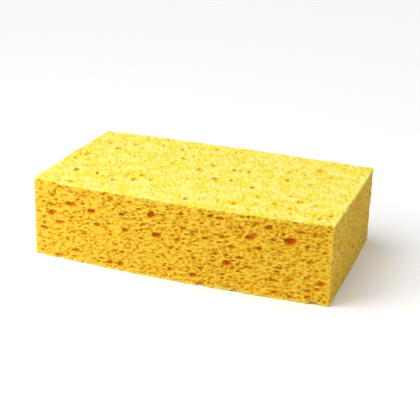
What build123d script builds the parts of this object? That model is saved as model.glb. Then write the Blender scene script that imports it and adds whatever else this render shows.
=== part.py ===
from build123d import *
import math
import os

# A household cellulose sponge: one block of open-pored foam, cut square, whose sides have bowed outward.
# Frame: +X along the length, +Y from the front to the back, +Z up. The origin is under the middle of the
# base. Sizes are in millimetres.

os.makedirs("parts", exist_ok=True)

# The block, corner to corner
LENGTH = 190.5
WIDTH = 108.0
HEIGHT = 50.8

# How far the middle of each side stands out from the line between its corners
BOW_FRONT = 4.0
BOW_BACK = 1.8
BOW_END = 0.6

EDGE_RADIUS = 0.8

# The overall width is centred on the origin, so the deeper bow of the front moves the corners back
FRONT_CORNER_Y = BOW_FRONT - (WIDTH + BOW_FRONT + BOW_BACK) / 2
BACK_CORNER_Y = FRONT_CORNER_Y + WIDTH

# Pores of the sides reach this far in from the line between the corners, those of the top and base this deep
SIDE_PORE_DEPTH = 2.6
FLAT_PORE_DEPTH = 2.2
# Pockets are cut from a plane this far outside the face
CUT_START = 1.0

# The large open pores of the front: from the left end, down from the top, width, height
FRONT_PORES = [
    (165.5, 13.5, 7.0, 4.6),
    (80.5, 10.2, 5.0, 4.2),
    (26.0, 13.0, 7.6, 2.8),
    (40.5, 15.0, 5.2, 3.0),
    (142.0, 14.5, 5.6, 3.2),
    (128.5, 32.8, 4.8, 3.8),
    (84.0, 22.8, 6.0, 3.4),
    (12.0, 21.3, 4.4, 3.0),
    (12.5, 15.5, 7.4, 2.0),
    (63.3, 23.3, 4.2, 2.8),
    (54.0, 4.8, 3.2, 2.6),
    (44.5, 23.0, 3.8, 2.6),
    (18.0, 26.4, 5.6, 2.4),
    (7.0, 32.0, 5.4, 2.2),
    (36.0, 30.8, 4.0, 1.8),
    (29.5, 43.2, 5.0, 2.4),
    (52.8, 46.6, 4.0, 2.4),
    (60.0, 46.2, 3.6, 3.4),
    (93.5, 29.2, 3.6, 2.4),
    (99.5, 6.7, 3.2, 2.6),
    (97.5, 23.5, 4.2, 2.2),
    (101.3, 15.5, 3.2, 2.6),
    (108.0, 16.6, 5.2, 2.0),
    (115.0, 19.3, 4.6, 2.2),
    (125.3, 16.8, 4.0, 2.4),
    (123.5, 5.5, 5.0, 2.2),
    (108.2, 33.6, 3.8, 2.2),
    (112.5, 39.0, 4.2, 2.0),
    (108.0, 44.3, 4.4, 2.8),
    (121.0, 28.2, 3.8, 2.2),
    (128.0, 28.0, 3.6, 2.0),
    (136.5, 28.2, 5.2, 2.4),
    (131.5, 22.2, 5.0, 2.4),
    (136.5, 9.4, 4.0, 2.0),
    (145.5, 5.6, 4.0, 2.2),
    (152.6, 6.6, 4.6, 3.0),
    (156.0, 13.9, 3.8, 2.2),
    (142.0, 33.6, 4.8, 2.0),
    (157.5, 39.3, 5.8, 2.2),
    (158.0, 46.6, 4.6, 2.2),
    (167.3, 37.0, 4.0, 2.0),
    (176.0, 15.2, 3.0, 3.0),
    (179.8, 7.4, 2.8, 3.4),
    (178.0, 24.6, 4.0, 2.2),
    (185.0, 37.2, 4.8, 3.0),
    (177.6, 42.8, 4.0, 2.2),
    (177.6, 46.6, 3.8, 2.0),
]

# The open pores of the top: from the left end, back from the front corners, width
TOP_PORES = [
    (23.0, 76.0, 5.0),
    (57.5, 24.0, 4.4),
    (160.0, 89.0, 5.0),
    (145.5, 63.0, 3.4),
    (103.0, 47.0, 4.0),
    (113.0, 47.0, 3.2),
    (109.0, 66.0, 3.6),
    (127.0, 11.0, 4.0),
    (98.5, 7.0, 4.2),
    (138.0, 5.0, 3.0),
    (184.5, 15.0, 3.6),
    (180.0, 8.0, 3.2),
    (9.5, 56.0, 4.4),
    (17.0, 26.0, 4.0),
    (32.0, 25.0, 3.2),
    (46.0, 18.0, 3.4),
    (30.0, 89.0, 3.6),
    (129.0, 41.0, 3.8),
    (169.0, 79.0, 3.2),
    (137.0, 27.0, 3.4),
    (155.0, 36.0, 3.0),
    (71.0, 74.0, 3.4),
    (85.0, 101.0, 3.6),
    (50.0, 30.0, 3.0),
]

# The other faces carry pores of the same sizes, spread evenly inside a margin
BACK_PORE_COUNT = 36
END_PORE_COUNT = 16
BASE_PORE_COUNT = 24
SMALLEST_PORE = 2.8
LARGEST_PORE = 6.0
PORE_FLATNESS = 0.5
EDGE_MARGIN = 6.0
MOUNT_CLEARANCE = 12.0
GOLDEN_STEP_U = 0.7549
GOLDEN_STEP_V = 0.5698


def scatter(count, start, across, up):
    """Evenly spread (u, v, width) over a face, u and v measured from its middle, with few wide pores."""
    for i in range(count):
        u = (start + i * GOLDEN_STEP_U) % 1 - 0.5
        v = (start + i * GOLDEN_STEP_V) % 1 - 0.5
        size = ((start + i * GOLDEN_STEP_U * GOLDEN_STEP_V) % 1) ** 2
        width = SMALLEST_PORE + size * (LARGEST_PORE - SMALLEST_PORE)
        yield u * (across - 2 * EDGE_MARGIN), v * (up - 2 * EDGE_MARGIN), width


middle_y = (FRONT_CORNER_Y + BACK_CORNER_Y) / 2
front_middle_y = FRONT_CORNER_Y - BOW_FRONT
back_middle_y = BACK_CORNER_Y + BOW_BACK
end_middle_x = LENGTH / 2 + BOW_END

front_plane = Plane((0, front_middle_y - CUT_START, HEIGHT / 2), x_dir=(1, 0, 0), z_dir=(0, -1, 0))
back_plane = Plane((0, back_middle_y + CUT_START, HEIGHT / 2), x_dir=(-1, 0, 0), z_dir=(0, 1, 0))
left_plane = Plane((-end_middle_x - CUT_START, middle_y, HEIGHT / 2), x_dir=(0, -1, 0), z_dir=(-1, 0, 0))
right_plane = Plane((end_middle_x + CUT_START, middle_y, HEIGHT / 2), x_dir=(0, 1, 0), z_dir=(1, 0, 0))

with BuildPart() as sponge_block:
    with BuildSketch():
        with BuildLine():
            front_left = (-LENGTH / 2, FRONT_CORNER_Y)
            front_right = (LENGTH / 2, FRONT_CORNER_Y)
            back_right = (LENGTH / 2, BACK_CORNER_Y)
            back_left = (-LENGTH / 2, BACK_CORNER_Y)
            ThreePointArc(front_left, (0, front_middle_y), front_right)
            ThreePointArc(front_right, (end_middle_x, middle_y), back_right)
            ThreePointArc(back_right, (0, back_middle_y), back_left)
            ThreePointArc(back_left, (-end_middle_x, middle_y), front_left)
        make_face()
    extrude(amount=HEIGHT)
    fillet(sponge_block.edges(), radius=EDGE_RADIUS)

    with BuildSketch(front_plane):
        for from_left, down, wide, tall in FRONT_PORES:
            with Locations((from_left - LENGTH / 2, HEIGHT / 2 - down)):
                Ellipse(wide / 2, tall / 2)
    extrude(amount=-(CUT_START + BOW_FRONT + SIDE_PORE_DEPTH), mode=Mode.SUBTRACT)

    with BuildSketch(back_plane):
        for u, v, wide in scatter(BACK_PORE_COUNT, 0.31, LENGTH, HEIGHT):
            with Locations((u, v)):
                Ellipse(wide / 2, wide / 2 * PORE_FLATNESS)
    extrude(amount=-(CUT_START + BOW_BACK + SIDE_PORE_DEPTH), mode=Mode.SUBTRACT)

    for plane, start in ((left_plane, 0.12), (right_plane, 0.67)):
        with BuildSketch(plane):
            for u, v, wide in scatter(END_PORE_COUNT, start, WIDTH, HEIGHT):
                with Locations((u, v)):
                    Ellipse(wide / 2, wide / 2 * PORE_FLATNESS)
        extrude(amount=-(CUT_START + BOW_END + SIDE_PORE_DEPTH), mode=Mode.SUBTRACT)

    with BuildSketch(Plane.XY.offset(HEIGHT + CUT_START)):
        for from_left, back, wide in TOP_PORES:
            with Locations((from_left - LENGTH / 2, FRONT_CORNER_Y + back)):
                Circle(wide / 2)
    extrude(amount=-(CUT_START + FLAT_PORE_DEPTH), mode=Mode.SUBTRACT)

    with BuildSketch(Plane.XY.offset(-CUT_START)):
        for u, v, wide in scatter(BASE_PORE_COUNT, 0.44, LENGTH, WIDTH):
            if math.hypot(u, v + middle_y) > MOUNT_CLEARANCE:
                with Locations((u, v + middle_y)):
                    Circle(wide / 2)
    extrude(amount=CUT_START + FLAT_PORE_DEPTH, mode=Mode.SUBTRACT)

sponge_block.part.label = "sponge_block"
export_step(sponge_block.part, "parts/sponge_block.step")
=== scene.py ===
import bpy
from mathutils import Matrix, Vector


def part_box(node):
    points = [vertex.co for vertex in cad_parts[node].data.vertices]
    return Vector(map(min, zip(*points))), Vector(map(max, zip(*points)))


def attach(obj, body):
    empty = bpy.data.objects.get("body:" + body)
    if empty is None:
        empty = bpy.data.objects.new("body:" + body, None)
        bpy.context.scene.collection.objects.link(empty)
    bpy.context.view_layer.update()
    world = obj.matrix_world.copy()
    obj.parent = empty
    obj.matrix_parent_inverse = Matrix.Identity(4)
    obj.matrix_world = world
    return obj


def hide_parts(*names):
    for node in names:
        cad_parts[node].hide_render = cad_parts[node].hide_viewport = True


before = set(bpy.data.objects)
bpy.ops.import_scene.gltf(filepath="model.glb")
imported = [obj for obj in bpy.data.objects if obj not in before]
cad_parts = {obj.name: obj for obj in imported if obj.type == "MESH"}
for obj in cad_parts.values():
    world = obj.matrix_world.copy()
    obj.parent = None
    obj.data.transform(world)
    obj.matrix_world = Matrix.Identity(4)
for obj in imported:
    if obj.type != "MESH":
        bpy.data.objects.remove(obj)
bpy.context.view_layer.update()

import math

import bpy
import numpy as np
import openvdb
from mathutils import Matrix, Vector

# ---------------------------------------------------------------------------------------------------------
# A block sponge of yellow cellulose foam. Its body is a field of numbers on a grid, above zero in the foam
# and below zero in the air. Pores are carved into the field, and the surface where it is zero becomes the
# mesh, so each pore is a real hollow with its own walls. The field is in millimetres, the scene in metres.
# ---------------------------------------------------------------------------------------------------------

MM = 0.001

# The block's outer form, as the CAD part has it
BOW_FRONT = 4.0
BOW_BACK = 1.8
BOW_END = 0.6
EDGE_SOFTNESS = 0.8           # how far from an edge its rounding reaches

# The grid that the field is worked out on. Its counts go up to a multiple of COUNT_ROUNDING, so that a small
# change of the block's size leaves the noise as it is
STEP = (0.5, 0.5, 0.36)       # finer in height because the pores are flat
COUNT_ROUNDING = 4
MARGIN = 5                    # empty grid points round the block
FAR = 9.0                     # the distance taken where no surface is near

# The noises that shape the block: the wavelength along x, y and z, how much it varies, and the seed
OUTER_WAVE = ((30.0, 30.0, 24.0), 0.5, 5)
RIDGE_WAVE = ((5.0, 5.0, 1.6), 0.5, 51)
HOLLOW_WAVE = ((3.6, 3.6, 1.5), 0.4, 31)
WALL_WAVE = ((3.4, 3.4, 2.0), 0.4, 11)

OUTER_WAVE_HEIGHT = 0.06      # how far the faces stray from their smooth form
RIDGE_HEIGHT = 0.05
HOLLOW_THRESHOLD = 0.3        # the skin sinks where the hollow wave is above this
HOLLOW_LIMIT = 1.5            # and sinks no further once it is this much above it
HOLLOW_DEPTH = 0.20           # how far it sinks for each unit of the wave
WALL_WAVE_HEIGHT = 0.07       # how far a pore strays from an ellipsoid, as a share of its least radius
LIP = 0.45                    # how far from a pore's rim its edge is rounded
CORE_DEPTH = 5.5              # nothing is carved deeper than this

# The random pores of each face: how many small, middling and large ones there are for each square millimetre
FACE_PORES = [
    ("front", (0.24, 0.110, 0.003)),
    ("back", (0.24, 0.100, 0.012)),
    ("left", (0.20, 0.080, 0.010)),
    ("right", (0.20, 0.070, 0.003)),
    ("top", (0.15, 0.030, 0.0015)),
    ("base", (0.15, 0.030, 0.006)),
]
# Of each size of pore: the least and greatest width, and how far inside the face its centre lies, in radii
PORE_SIZES = [
    (1.4, 2.3, -0.30, 0.30),
    (2.0, 3.2, -0.35, 0.30),
    (3.2, 5.0, -0.30, 0.40),
]
PORE_FLATNESS = (0.42, 0.60)  # the range of a random pore's height, as a share of its width
RADIUS_VARIETY = (0.88, 1.14)  # the range of the factor on each of its radii
LARGE_FACE_DEEPENING = 1.4    # the factor on the depth of the random pores of the top and base
ALONG_INSET = 0.6             # how far a centre keeps from the ends of a face, in widths of its pore
UP_INSET = 0.4                # how far it keeps from the lower and upper, or front and back, edges
FRONT_CROWDING = 0.8          # below 1, the random pores of the front crowd towards its right end
PORE_SEED = 22
# Steps that spread points evenly over a face, each as a share of its sides
SPREAD = np.array((0.7549, 0.5698))
SPREAD_JITTER = 0.7           # how far the points stray from even places, in mean spacings

low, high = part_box("sponge_block")
LENGTH = (high.x - low.x) / MM - 2 * BOW_END
WIDTH = (high.y - low.y) / MM - BOW_FRONT - BOW_BACK
HEIGHT = (high.z - low.z) / MM
FRONT_CORNER_Y = low.y / MM + BOW_FRONT
BACK_CORNER_Y = high.y / MM - BOW_BACK
MIDDLE_Y = (FRONT_CORNER_Y + BACK_CORNER_Y) / 2

# The large open pores of the front: from the left end, down from the top, width, height
FRONT_PORES = [
    (165.5, 13.5, 7.0, 4.6),
    (80.5, 10.2, 5.0, 4.2),
    (26.0, 13.0, 7.6, 2.8),
    (40.5, 15.0, 5.2, 3.0),
    (142.0, 14.5, 5.6, 3.2),
    (128.5, 32.8, 4.8, 3.8),
    (84.0, 22.8, 6.0, 3.4),
    (12.0, 21.3, 4.4, 3.0),
    (12.5, 15.5, 7.4, 2.0),
    (63.3, 23.3, 4.2, 2.8),
    (54.0, 4.8, 3.2, 2.6),
    (44.5, 23.0, 3.8, 2.6),
    (18.0, 26.4, 5.6, 2.4),
    (7.0, 32.0, 5.4, 2.2),
    (36.0, 30.8, 4.0, 1.8),
    (29.5, 43.2, 5.0, 2.4),
    (52.8, 46.6, 4.0, 2.4),
    (60.0, 46.2, 3.6, 3.4),
    (17.0, 49.2, 6.0, 2.6),
    (93.5, 29.2, 3.6, 2.4),
    (99.5, 6.7, 3.2, 2.6),
    (97.5, 23.5, 4.2, 2.2),
    (101.3, 15.5, 3.2, 2.6),
    (108.0, 16.6, 5.2, 2.0),
    (115.0, 19.3, 4.6, 2.2),
    (125.3, 16.8, 4.0, 2.4),
    (123.5, 5.5, 5.0, 2.2),
    (108.2, 33.6, 3.8, 2.2),
    (112.5, 39.0, 4.2, 2.0),
    (108.0, 44.3, 4.4, 2.8),
    (112.5, 49.6, 5.0, 2.8),
    (121.0, 28.2, 3.8, 2.2),
    (128.0, 28.0, 3.6, 2.0),
    (136.5, 28.2, 5.2, 2.4),
    (131.5, 22.2, 5.0, 2.4),
    (136.5, 9.4, 4.0, 2.0),
    (145.5, 5.6, 4.0, 2.2),
    (152.6, 6.6, 4.6, 3.0),
    (156.0, 13.9, 3.8, 2.2),
    (142.0, 33.6, 4.8, 2.0),
    (157.5, 39.3, 5.8, 2.2),
    (158.0, 46.6, 4.6, 2.2),
    (167.5, 48.4, 3.4, 2.2),
    (167.3, 37.0, 4.0, 2.0),
    (176.0, 15.2, 3.0, 3.0),
    (179.8, 7.4, 2.8, 3.4),
    (178.0, 24.6, 4.0, 2.2),
    (185.0, 37.2, 4.8, 3.0),
    (177.6, 42.8, 4.0, 2.2),
    (177.6, 46.6, 3.8, 2.0),
    (181.0, 50.4, 5.0, 2.4),
    (134.0, 50.4, 5.0, 2.0),
]
FRONT_PORE_GROWTH = 1.08      # how much larger a pore's ellipsoid is than the listed width and height
FRONT_PORE_DEPTH = 1.4        # its size from front to back, in heights, but never more than its width
FRONT_PORE_SINK = 0.3         # how far inside the face its centre lies, in radii

# The open pores of the top: from the left end, back from the front corners, width
TOP_PORES = [
    (23.0, 76.0, 5.0),
    (57.5, 24.0, 4.4),
    (160.0, 89.0, 5.0),
    (145.5, 63.0, 3.4),
    (103.0, 47.0, 4.0),
    (113.0, 47.0, 3.2),
    (109.0, 66.0, 3.6),
    (127.0, 11.0, 4.0),
    (98.5, 7.0, 4.2),
    (138.0, 5.0, 3.0),
    (184.5, 15.0, 3.6),
    (180.0, 8.0, 3.2),
    (9.5, 56.0, 4.4),
    (17.0, 26.0, 4.0),
    (32.0, 25.0, 3.2),
    (46.0, 18.0, 3.4),
    (30.0, 89.0, 3.6),
    (129.0, 41.0, 3.8),
    (169.0, 79.0, 3.2),
    (137.0, 27.0, 3.4),
    (155.0, 36.0, 3.0),
    (71.0, 74.0, 3.4),
    (85.0, 101.0, 3.6),
    (50.0, 30.0, 3.0),
]
TOP_PORE_LENGTH = 1.3         # a pore's size from front to back, in widths
TOP_PORE_DEPTH = 2.0


# ---------------------------------------------------------------------------------------------------------
# The field
# ---------------------------------------------------------------------------------------------------------


class Grid:
    """The points that the field is worked out on, as three broadcasting coordinate arrays."""

    def __init__(self):
        self.step = np.array(STEP)
        self.start = np.array(low) / MM - MARGIN * self.step
        size = (np.array(high) - np.array(low)) / MM
        counts = np.ceil(size / self.step / COUNT_ROUNDING).astype(int) * COUNT_ROUNDING
        self.shape = tuple((counts + 2 * MARGIN).tolist())
        axes = [
            (first + spacing * np.arange(count)).astype(np.float32)
            for first, spacing, count in zip(self.start, self.step, self.shape)
        ]
        self.x, self.y, self.z = np.meshgrid(*axes, indexing="ij", sparse=True)

    def noise(self, wave):
        """Smooth noise with a standard deviation of 1."""
        wavelength, spread, seed = wave
        white = np.random.default_rng(seed).standard_normal(self.shape, dtype=np.float32)
        spectrum = np.fft.rfftn(white)
        kx = np.fft.fftfreq(self.shape[0], STEP[0])[:, None, None] * wavelength[0]
        ky = np.fft.fftfreq(self.shape[1], STEP[1])[None, :, None] * wavelength[1]
        kz = np.fft.rfftfreq(self.shape[2], STEP[2])[None, None, :] * wavelength[2]
        pitch = np.sqrt(kx**2 + ky**2 + kz**2)
        spectrum *= np.exp(-(((pitch - 1) / spread) ** 2))
        waves = np.fft.irfftn(spectrum, self.shape).astype(np.float32)
        return waves / waves.std()


def front_y(x):
    return FRONT_CORNER_Y - BOW_FRONT * (1 - (2 * x / LENGTH) ** 2)


def back_y(x):
    return BACK_CORNER_Y + BOW_BACK * (1 - (2 * x / LENGTH) ** 2)


def end_x(y):
    return LENGTH / 2 + BOW_END * (1 - (2 * (y - MIDDLE_Y) / WIDTH) ** 2)


def soft_min(a, b, reach):
    """The lesser of a and b, rounded off where they are within reach of each other."""
    h = np.maximum(reach - np.abs(a - b), 0) / reach
    return np.minimum(a, b) - h * h * reach / 4


def depth_from_sides(x, y):
    across = np.minimum(y - front_y(x), back_y(x) - y)
    along = end_x(y) - np.abs(x)
    return soft_min(across, along, EDGE_SOFTNESS)


def depth_from_large_faces(z):
    return np.minimum(z, HEIGHT - z)


def depth_in_block(grid):
    """How deep each point is inside the block's outer form."""
    return soft_min(depth_from_sides(grid.x, grid.y), depth_from_large_faces(grid.z), EDGE_SOFTNESS)


def carve(field, grid, centre, radii, warp):
    """Takes an ellipsoidal pore out of the field. Its wall strays by warp, in shares of its least radius."""
    reach = radii + 2 * grid.step
    first = np.maximum(((centre - reach - grid.start) / grid.step).astype(int), 0)
    last = np.minimum(((centre + reach - grid.start) / grid.step).astype(int) + 2, grid.shape)
    part = tuple(slice(a, b) for a, b in zip(first, last))
    x = (grid.x[part[0]] - centre[0]) / radii[0]
    y = (grid.y[:, part[1]] - centre[1]) / radii[1]
    z = (grid.z[:, :, part[2]] - centre[2]) / radii[2]
    wall = (np.sqrt(x * x + y * y + z * z) - 1 + warp[part]) * radii.min()
    np.minimum(field[part], wall, out=field[part])


def listed_pores():
    """The pores of the two lists, as (centre, radii)."""
    for from_left, down, wide, tall in FRONT_PORES:
        x = from_left - LENGTH / 2
        deep = min(wide, tall * FRONT_PORE_DEPTH)
        radii = np.array([wide, deep, tall]) / 2 * FRONT_PORE_GROWTH
        yield np.array([x, front_y(x) + FRONT_PORE_SINK * radii[1], HEIGHT - down]), radii
    for from_left, back, wide in TOP_PORES:
        centre = np.array([from_left - LENGTH / 2, FRONT_CORNER_Y + back, HEIGHT])
        yield centre, np.array([wide / 2, wide / 2 * TOP_PORE_LENGTH, TOP_PORE_DEPTH])


def place_in_face(face, a, b, sunk):
    """The place a along the face from its middle, b up it (b back over the top or base) and sunk inside it.

    Of sunk, which is (x, y, z), the part that is square to the face counts.
    """
    if face == "front":
        return np.array([a, front_y(a) + sunk[1], b])
    if face == "back":
        return np.array([a, back_y(a) - sunk[1], b])
    if face in ("left", "right"):
        y = MIDDLE_Y + a
        side = -1 if face == "left" else 1
        return np.array([side * (end_x(y) - sunk[0]), y, b])
    z = HEIGHT - sunk[2] if face == "top" else sunk[2]
    return np.array([a, FRONT_CORNER_Y + b, z])


def random_pores(rng):
    """The random pores of the six faces, as (centre, radii)."""
    for face, shares in FACE_PORES:
        across = WIDTH if face in ("left", "right") else LENGTH
        up = WIDTH if face in ("top", "base") else HEIGHT
        for share, (least, most, least_sunk, most_sunk) in zip(shares, PORE_SIZES):
            count = int(share * across * up)
            for i in range(count):
                u, v = (SPREAD * i + rng.normal(0, SPREAD_JITTER, 2) / math.sqrt(count)) % 1
                if face == "front":
                    u = u ** FRONT_CROWDING
                wide = least + (most - least) * rng.random() ** 2
                flatness = rng.uniform(*PORE_FLATNESS)
                radii = wide / 2 * np.array([1, 1, flatness]) * rng.uniform(*RADIUS_VARIETY, 3)
                if face in ("top", "base"):
                    radii[2] *= LARGE_FACE_DEEPENING
                a = (u - 0.5) * (across - 2 * ALONG_INSET * wide)
                b = UP_INSET * wide + v * (up - 2 * UP_INSET * wide)
                sunk = rng.uniform(least_sunk, most_sunk) * radii
                yield place_in_face(face, a, b, sunk), radii


def skin_relief(grid):
    """How far the cut skin lies below the outer form: soft level ridges with shallow hollows among them."""
    hollows = np.clip(grid.noise(HOLLOW_WAVE) - HOLLOW_THRESHOLD, 0, HOLLOW_LIMIT)
    return RIDGE_HEIGHT * grid.noise(RIDGE_WAVE) + HOLLOW_DEPTH * hollows


def sponge_field(grid):
    """The carved block: (the field, how deep each point is inside the block before it is carved)."""
    depth = depth_in_block(grid) + OUTER_WAVE_HEIGHT * grid.noise(OUTER_WAVE)
    warp = WALL_WAVE_HEIGHT * grid.noise(WALL_WAVE)
    pores = np.full(grid.shape, FAR, np.float32)
    for centre, radii in (*listed_pores(), *random_pores(np.random.default_rng(PORE_SEED))):
        carve(pores, grid, centre, radii, warp)
    field = soft_min(depth - skin_relief(grid), pores, LIP)
    return np.maximum(field, depth - CORE_DEPTH), depth


# ---------------------------------------------------------------------------------------------------------
# The mesh
# ---------------------------------------------------------------------------------------------------------

# The look of the top and base, whose paleness is painted sheen, reaches this far past their edges, and fades
# out over the last LARGE_FACE_FADE
LARGE_FACE_REACH = 1.28
LARGE_FACE_FADE = 0.8


def connected(count, faces):
    """A number for each vertex that is the same for all the vertices it is joined to."""
    ends = np.concatenate([faces[:, [0, 1]], faces[:, [1, 2]], faces[:, [2, 3]]])
    label = np.arange(count)
    while True:
        least = np.minimum(label[ends[:, 0]], label[ends[:, 1]])
        new = label.copy()
        np.minimum.at(new, ends[:, 0], least)
        np.minimum.at(new, ends[:, 1], least)
        while True:
            jump = new[new]
            if (jump == new).all():
                break
            new = jump
        if (new == label).all():
            return label
        label = new


def largest_shell(points, faces):
    """Keeps the outer shell, and leaves out the closed bubbles and crumbs."""
    label = connected(len(points), faces)
    names, counts = np.unique(label, return_counts=True)
    keep = label == names[counts.argmax()]
    place = np.cumsum(keep) - 1
    return points[keep], place[faces[keep[faces[:, 0]]]]


def sampled(grid, values, points):
    """values at points, which are in voxels, by linear interpolation."""
    base = np.clip(points.astype(int), 0, np.array(grid.shape) - 2)
    part = points - base
    total = np.zeros(len(points), np.float32)
    for corner in np.ndindex(2, 2, 2):
        weight = np.prod(np.where(corner, part, 1 - part), axis=1)
        i, j, k = (base + corner).T
        total += weight * values[i, j, k]
    return total


def sponge_mesh(name):
    """The surface of the foam, with how deep each vertex is and how much it looks like the large faces."""
    grid = Grid()
    field, depth = sponge_field(grid)
    volume = openvdb.FloatGrid(FAR)
    volume.copyFromArray(np.ascontiguousarray(-field))
    points, faces = volume.convertToQuads(0.0)
    points, faces = largest_shell(points, faces.astype(np.int64))
    below = sampled(grid, depth, points)
    places = (grid.start + points * grid.step) * MM
    mesh = bpy.data.meshes.new(name)
    mesh.vertices.add(len(places))
    mesh.vertices.foreach_set("co", places.astype(np.float32).ravel())
    mesh.loops.add(faces.size)
    mesh.loops.foreach_set("vertex_index", faces.astype(np.int32).ravel())
    mesh.polygons.add(len(faces))
    mesh.polygons.foreach_set("loop_start", np.arange(0, faces.size, 4, dtype=np.int32))
    mesh.update()
    mesh.validate()
    mesh.shade_smooth()
    x, y, z = (places / MM).T
    nearer = depth_from_sides(x, y) - depth_from_large_faces(z)
    large_face = np.clip((LARGE_FACE_REACH + nearer) / LARGE_FACE_FADE, 0, 1)
    for attribute, values in (("pore_depth", below), ("large_face", large_face)):
        data = mesh.attributes.new(attribute, "FLOAT", "POINT").data
        data.foreach_set("value", values.astype(np.float32))
    return mesh


# ---------------------------------------------------------------------------------------------------------
# The material
# ---------------------------------------------------------------------------------------------------------

# Colours, as 0 to 255 display values. The sides have pale crests, which are a painted highlight, and a fine
# level grain of two colours, whose darker one is painted shade where the grain's bump sinks. The large
# faces, which are the top and base, are paler, which is painted sheen, and patchy
SIDE_CREST_HIGHLIGHT = (244, 205, 60)
# A grain of two tones; the darker, more orange one lies where the grain's bump sinks, so it is painted shade
# in the pits
SIDE_GRAIN_AND_PIT_SHADE = ((244, 204, 38), (235, 176, 2))
# The paleness of these two colours is painted sheen, and the mix between them makes patches of random tone
LARGE_FACE_SHEEN_AND_PATCHES = ((247, 232, 116), (239, 219, 54))
# Painted shade in the pores: with depth the colour turns to a darker ochre, and deeper still to orange,
# standing in for the shade and the orange light bounced about inside them. Each is given in the sides, in
# the large faces
PORE_SHADE_OCHRE = ((230, 164, 14), (228, 168, 22))
DEEP_PORE_SHADE_ORANGE = ((240, 142, 12), (232, 150, 16))
# The depths at which the painted crest highlight ends and at which each painted pore shade comes in: from,
# to
CREST_HIGHLIGHT_END = (0.0, 0.35)
PORE_SHADE_OCHRE_START = (0.4, 1.5)
DEEP_PORE_SHADE_ORANGE_START = (1.5, 3.6)

# The two textures: spots to a metre, detail, how many times flatter than wide the spots are
GRAIN = (560, 3, 2.4)
PATCHES = (135, 4, 1.5)
TEXTURE_CONTRAST = (0.36, 0.64)   # the values of the noise that become 0 and 1
ROUGHNESS = (0.74, 0.92)          # where the grain is 0, where it is 1
GRAIN_DEPTH = 0.0003
GRAIN_STRENGTH = 0.6

SHADER_VALUES = {
    "Specular IOR Level": 0.25,
    "Subsurface Weight": 0.2,
    "Subsurface Radius": (1.4, 0.7, 0.2),
    "Subsurface Scale": 0.001,
    "Sheen Weight": 0.22,
    "Sheen Roughness": 0.4,
}


def linear_colour(display):
    """Display values as linear light, with an alpha of 1."""
    shares = [value / 255 for value in display]
    light = [s / 12.92 if s <= 0.04045 else ((s + 0.055) / 1.055) ** 2.4 for s in shares]
    return (*light, 1.0)


def foam_material():
    material = bpy.data.materials.new("cellulose_foam")
    material.use_nodes = True
    nodes = material.node_tree.nodes
    links = material.node_tree.links
    shader = nodes["Principled BSDF"]
    for socket, value in SHADER_VALUES.items():
        shader.inputs[socket].default_value = value
    place = nodes.new("ShaderNodeTexCoord")

    def attribute(name):
        node = nodes.new("ShaderNodeAttribute")
        node.attribute_name = name
        return node.outputs["Fac"]

    def noise(scale, detail, flatness):
        stretch = nodes.new("ShaderNodeMapping")
        stretch.inputs["Scale"].default_value = (1, 1, flatness)
        links.new(place.outputs["Object"], stretch.inputs["Vector"])
        texture = nodes.new("ShaderNodeTexNoise")
        texture.inputs["Scale"].default_value = scale
        texture.inputs["Detail"].default_value = detail
        links.new(stretch.outputs["Vector"], texture.inputs["Vector"])
        return texture.outputs["Fac"]

    def ramp(value, start, end):
        """Goes smoothly from 0 to 1 as value goes from start to end."""
        node = nodes.new("ShaderNodeMapRange")
        node.interpolation_type = "SMOOTHSTEP"
        node.inputs["From Min"].default_value = start
        node.inputs["From Max"].default_value = end
        links.new(value, node.inputs["Value"])
        return node.outputs["Result"]

    def mix(factor, a, b):
        """Goes from a to b as factor goes from 0 to 1. Each is display values or a node's output."""
        node = nodes.new("ShaderNodeMix")
        node.data_type = "RGBA"
        links.new(factor, node.inputs["Factor"])
        for colour, socket in ((a, node.inputs["A"]), (b, node.inputs["B"])):
            if isinstance(colour, tuple):
                socket.default_value = linear_colour(colour)
            else:
                links.new(colour, socket)
        return node.outputs["Result"]

    depth = attribute("pore_depth")
    large_face = attribute("large_face")
    grain = ramp(noise(*GRAIN), *TEXTURE_CONTRAST)
    patches = ramp(noise(*PATCHES), *TEXTURE_CONTRAST)

    # Painted highlight: near the outer form the sides take the paler crest colour, and deeper they take the
    # grain
    sides = mix(ramp(depth, *CREST_HIGHLIGHT_END), SIDE_CREST_HIGHLIGHT, mix(grain, *SIDE_GRAIN_AND_PIT_SHADE))
    # The top and base take their paler colours, which are painted sheen, in patches
    skin = mix(large_face, sides, mix(patches, *LARGE_FACE_SHEEN_AND_PATCHES))
    # Painted shade: the pores turn darker ochre with depth, and orange deeper still
    shallow = mix(ramp(depth, *PORE_SHADE_OCHRE_START), skin, mix(large_face, *PORE_SHADE_OCHRE))
    colour = mix(ramp(depth, *DEEP_PORE_SHADE_ORANGE_START), shallow, mix(large_face, *DEEP_PORE_SHADE_ORANGE))
    links.new(colour, shader.inputs["Base Color"])

    roughness = nodes.new("ShaderNodeMapRange")
    for socket, value in zip(("To Min", "To Max"), ROUGHNESS):
        roughness.inputs[socket].default_value = value
    links.new(grain, roughness.inputs["Value"])
    links.new(roughness.outputs["Result"], shader.inputs["Roughness"])

    bump = nodes.new("ShaderNodeBump")
    bump.invert = True
    bump.inputs["Strength"].default_value = GRAIN_STRENGTH
    bump.inputs["Distance"].default_value = GRAIN_DEPTH
    links.new(grain, bump.inputs["Height"])
    links.new(bump.outputs["Normal"], shader.inputs["Normal"])
    return material


# ---------------------------------------------------------------------------------------------------------
# The camera, the floor and the lights
# ---------------------------------------------------------------------------------------------------------

MIDDLE = (low + high) / 2

# A place round the block is (azimuth, elevation) in degrees. Azimuth 0 is in front, and 90 at the right end
VIEW_PLACE = (19.34, 21.74)
VIEW_ROLL = math.radians(1.85)
VIEW_DISTANCE = 0.647
VIEW_LENS = 86.2
VIEW_SHIFT = Vector((0.0018, 0.0012, 0))   # from the middle of the block to where the camera points

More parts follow.
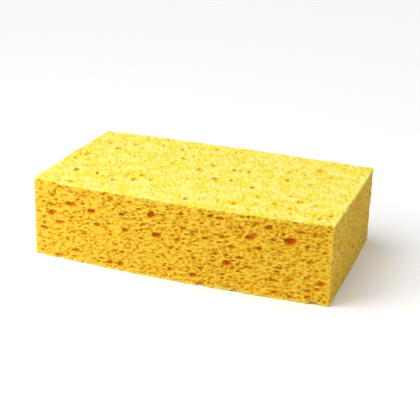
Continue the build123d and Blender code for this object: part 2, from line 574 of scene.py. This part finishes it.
FLOOR_HALF = 3.0
FLOOR_SHADE = 0.96
FLOOR_ROUGHNESS = 0.9

SKY_LOBES = [((-65, 60), 4.2), ((95, 58), 1.6)]    # place, strength
SKY_POWER = 8                              # the higher it is, the narrower the lobes are

SOFTBOX_PLACE = (-42, 32)
SOFTBOX_DISTANCE = 0.5
SOFTBOX_SIZE = 0.3
SOFTBOX_POWER = 0.95


def direction(azimuth, elevation):
    """The unit vector from the block towards a place round it."""
    turn, rise = math.radians(azimuth), math.radians(elevation)
    flat = math.cos(rise)
    return Vector((math.sin(turn) * flat, -math.cos(turn) * flat, math.sin(rise)))


def make_camera():
    data = bpy.data.cameras.new("camera")
    data.lens = VIEW_LENS
    camera = bpy.data.objects.new("camera", data)
    bpy.context.scene.collection.objects.link(camera)
    away = direction(*VIEW_PLACE)
    turn = away.to_track_quat("Z", "Y").to_matrix() @ Matrix.Rotation(VIEW_ROLL, 3, "Z")
    camera.matrix_world = Matrix.Translation(MIDDLE + VIEW_SHIFT + away * VIEW_DISTANCE) @ turn.to_4x4()
    bpy.context.scene.camera = camera


def make_floor():
    mesh = bpy.data.meshes.new("floor")
    corners = [(x * FLOOR_HALF, y * FLOOR_HALF, 0) for x, y in ((-1, -1), (1, -1), (1, 1), (-1, 1))]
    mesh.from_pydata(corners, [], [(0, 1, 2, 3)])
    floor = bpy.data.objects.new("floor", mesh)
    bpy.context.scene.collection.objects.link(floor)
    material = bpy.data.materials.new("floor")
    material.use_nodes = True
    shader = material.node_tree.nodes["Principled BSDF"]
    shader.inputs["Base Color"].default_value = (FLOOR_SHADE, FLOOR_SHADE, FLOOR_SHADE, 1)
    shader.inputs["Roughness"].default_value = FLOOR_ROUGHNESS
    mesh.materials.append(material)


def make_sky():
    """Broad soft lights, high on the left and right. The camera sees plain white instead of them."""
    world = bpy.data.worlds.new("studio")
    bpy.context.scene.world = world
    world.use_nodes = True
    nodes, links = world.node_tree.nodes, world.node_tree.links

    def math_node(operation, a, b):
        node = nodes.new("ShaderNodeMath")
        node.operation = operation
        for value, socket in zip((a, b), node.inputs):
            if isinstance(value, (int, float)):
                socket.default_value = value
            else:
                links.new(value, socket)
        return node.outputs["Value"]

    place = nodes.new("ShaderNodeTexCoord")
    total = 0
    for lobe_place, strength in SKY_LOBES:
        facing = nodes.new("ShaderNodeVectorMath")
        facing.operation = "DOT_PRODUCT"
        facing.inputs[1].default_value = direction(*lobe_place)
        links.new(place.outputs["Generated"], facing.inputs[0])
        lobe = math_node("POWER", math_node("MAXIMUM", facing.outputs["Value"], 0), SKY_POWER)
        total = math_node("ADD", math_node("MULTIPLY", lobe, strength), total)
    seen = nodes.new("ShaderNodeLightPath")
    shown = nodes.new("ShaderNodeMix")
    shown.inputs["B"].default_value = 1
    links.new(seen.outputs["Is Camera Ray"], shown.inputs["Factor"])
    links.new(total, shown.inputs["A"])
    links.new(shown.outputs["Result"], nodes["Background"].inputs["Strength"])
    nodes["Background"].inputs["Color"].default_value = (1, 1, 1, 1)


def make_softbox():
    """A softbox in front of the block on its left, which brightens the left of the front."""
    data = bpy.data.lights.new("softbox", "AREA")
    data.size = SOFTBOX_SIZE
    data.energy = SOFTBOX_POWER
    light = bpy.data.objects.new("softbox", data)
    bpy.context.scene.collection.objects.link(light)
    away = direction(*SOFTBOX_PLACE)
    light.location = MIDDLE + away * SOFTBOX_DISTANCE
    light.rotation_euler = away.to_track_quat("Z", "Y").to_euler()


scene = bpy.context.scene
scene.view_settings.view_transform = "Standard"
make_camera()
make_floor()
make_sky()
make_softbox()

sponge = bpy.data.objects.new("sponge", sponge_mesh("sponge"))
scene.collection.objects.link(sponge)
sponge.data.materials.append(foam_material())
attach(sponge, "root")
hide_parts("sponge_block")
